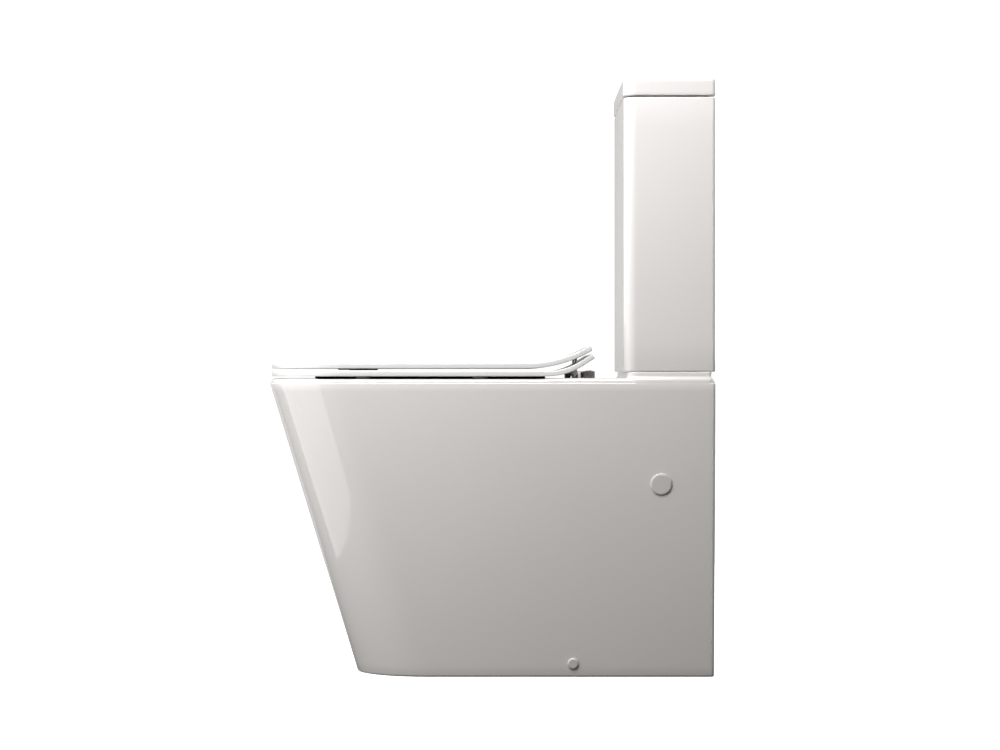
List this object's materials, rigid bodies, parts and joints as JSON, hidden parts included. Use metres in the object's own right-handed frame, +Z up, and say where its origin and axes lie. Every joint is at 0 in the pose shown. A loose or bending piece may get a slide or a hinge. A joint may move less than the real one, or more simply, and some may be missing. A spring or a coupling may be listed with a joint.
{
  "type": "close coupled toilet",
  "caption": "Floor-standing close coupled toilet with a skirted pan, slim hinged seat and lid, and a cistern with its flushing gear.",
  "frame": {"origin": "on the floor, under the middle of the whole object", "axes": "+Z up, +Y towards the wall behind the cistern, +X to the right when looking at the wall"},
  "size_m": [0.365, 0.621, 0.8265],
  "materials": {
    "ceramic": "gloss white glaze",
    "seat_plastic": "gloss white moulded plastic",
    "chrome": "satin chrome",
    "steel": "plain zinc steel",
    "cap_plastic": "white cover caps",
    "white_plastic": "moulded plastic",
    "grey_plastic": "moulded plastic",
    "blue_plastic": "moulded plastic",
    "buffer": "soft translucent grey elastomer",
    "rubber": "black rubber"
  },
  "bodies": {
    "pan": {"pan": "ceramic", "cistern_tank": "ceramic", "side_cap_left": "cap_plastic", "side_cap_right": "cap_plastic", "fixing_cap_left": "cap_plastic", "fixing_cap_right": "cap_plastic", "floor_bracket_left": "grey_plastic", "floor_bracket_right": "grey_plastic", "floor_screw_left": "steel", "floor_screw_right": "steel", "side_screw_left": "steel", "side_screw_right": "steel", "hinge_pillar_left": "chrome", "hinge_pillar_right": "chrome", "hinge_pin_left": "steel", "hinge_pin_right": "steel", "hinge_bolt_left": "steel", "hinge_bolt_right": "steel", "hinge_nut_left": "white_plastic", "hinge_nut_right": "white_plastic", "tank_bolt_left": "steel", "tank_bolt_right": "steel", "tank_bolt_washer_left": "rubber", "tank_bolt_washer_right": "rubber", "tank_wing_nut_left": "white_plastic", "tank_wing_nut_right": "white_plastic", "valve_base": "white_plastic", "valve_washer": "rubber", "valve_backnut": "white_plastic", "coupling_gasket": "rubber", "valve_tower": "white_plastic", "fill_valve_body": "white_plastic", "fill_valve_washer": "rubber", "fill_valve_nut": "white_plastic", "fill_valve_head": "grey_plastic"},
    "seat": {"seat_ring": "seat_plastic", "seat_buffer_front_left": "buffer", "seat_buffer_front_right": "buffer", "seat_buffer_rear_left": "buffer", "seat_buffer_rear_right": "buffer"},
    "seat_cover": {"seat_lid": "seat_plastic", "lid_buffer_left": "rubber", "lid_buffer_right": "rubber"},
    "cistern_cover": {"cistern_lid": "ceramic", "button_bezel": "chrome", "bezel_nut": "white_plastic"},
    "full_button": {"full_flush_button": "chrome", "full_push_rod": "blue_plastic"},
    "half_button": {"half_flush_button": "chrome", "half_push_rod": "blue_plastic"},
    "flush_core": {"valve_core": "grey_plastic", "flush_seal": "rubber"},
    "float": {"float_arm": "white_plastic", "float_cup": "blue_plastic"}
  },
  "joints": [
    {"name": "seat_hinge", "type": "hinge", "parent": "pan", "child": "seat", "pos_m": [0, 0.142, 0.4185], "axis": [-1, 0, 0], "range_deg": [0, 93]},
    {"name": "cover_hinge", "type": "hinge", "parent": "seat", "child": "seat_cover", "pos_m": [0, 0.142, 0.4185], "axis": [1, 0, 0], "range_deg": [-93, 0]},
    {"name": "cistern_cover_lift", "type": "slide", "parent": "pan", "child": "cistern_cover", "axis": [0, 0, 1], "range_m": [0, 0.08]},
    {"name": "full_button_press", "type": "slide", "parent": "cistern_cover", "child": "full_button", "axis": [0, 0, -1], "range_m": [0, 0.007], "stiffness_N_per_m": 400, "springref_m": -0.01},
    {"name": "half_button_press", "type": "slide", "parent": "cistern_cover", "child": "half_button", "axis": [0, 0, -1], "range_m": [0, 0.007], "stiffness_N_per_m": 400, "springref_m": -0.01},
    {"name": "core_lift", "type": "slide", "parent": "pan", "child": "flush_core", "axis": [0, 0, 1], "range_m": [0, 0.021]},
    {"name": "float_swing", "type": "hinge", "parent": "pan", "child": "float", "pos_m": [-0.117, 0.247, 0.66], "axis": [0, -1, 0], "range_deg": [0, 20]}
  ],
  "couplings": [
    {"joint": "core_lift", "follows": "full_button_press", "ratio": 3}
  ]
}
